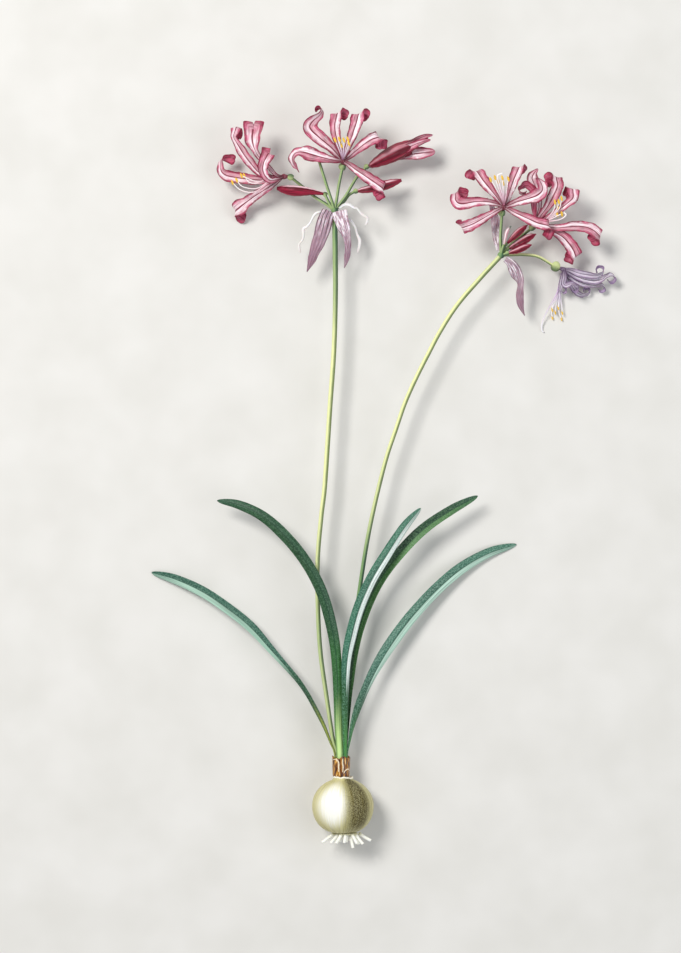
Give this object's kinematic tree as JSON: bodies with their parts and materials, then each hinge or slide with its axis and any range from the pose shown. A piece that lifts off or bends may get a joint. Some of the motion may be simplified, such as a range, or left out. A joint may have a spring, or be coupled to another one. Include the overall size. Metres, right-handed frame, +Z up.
{
  "type": "nerine plant with bulb and flower stems",
  "caption": "Whole lifted nerine plant lying on a surface: round bulb with trimmed roots, strap leaves, and tall flower stems with umbels of wavy pink blooms.",
  "frame": {"origin": "middle of the base of the bounding box, on the surface that the plant lies on", "axes": "+Y along the plant from the bulb to the flowers, +Z up from the surface, +X to the right of the flowers seen from above"},
  "size_m": [0.2342, 0.3694, 0.0335],
  "materials": {
    "bulb_skin": "smooth fleshy bulb scales, cream",
    "root_white": "fleshy roots, white",
    "tunic_brown": "dry glossy brown membrane",
    "leaf_green": "smooth waxy leaf, blue-green",
    "stem_green": "smooth stem, yellow-green",
    "tepal_pink": "soft satin petal, pink with a crimson midrib",
    "bud_crimson": "satin petal, crimson",
    "withered_lilac": "wilted petal, lilac",
    "spathe_mauve": "dry papery membrane, mauve with fine veins",
    "stamen_pale": "pale filaments with golden anthers"
  },
  "bodies": {
    "root": {"bulb": "bulb_skin", "roots": "root_white", "neck_tunic": "tunic_brown", "leaf_low_left": "leaf_green", "leaf_high_left": "leaf_green", "leaf_centre": "leaf_green", "leaf_high_right": "leaf_green", "leaf_low_right": "leaf_green", "left_flower_stem": "stem_green", "right_flower_stem": "stem_green", "left_spathe_outer": "spathe_mauve", "left_spathe_inner": "spathe_mauve", "right_spathe_upper": "spathe_mauve", "right_spathe_lower": "spathe_mauve", "left_thread_1": "spathe_mauve", "left_thread_2": "spathe_mauve", "left_thread_3": "spathe_mauve", "left_bud_low": "bud_crimson", "left_bud_right": "bud_crimson", "right_bud_near": "bud_crimson", "right_bud_low": "bud_crimson", "right_bud_high": "bud_crimson", "right_bud_young": "spathe_mauve", "bloom_left": "tepal_pink", "bloom_left_stamens": "stamen_pale", "bloom_left_open": "tepal_pink", "bloom_left_open_stamens": "stamen_pale", "bloom_half_open": "tepal_pink", "bloom_right_open": "tepal_pink", "bloom_right_open_stamens": "stamen_pale", "bloom_right": "tepal_pink", "bloom_right_stamens": "stamen_pale", "bloom_withered": "withered_lilac", "bloom_withered_stamens": "stamen_pale"}
  },
  "joints": []
}
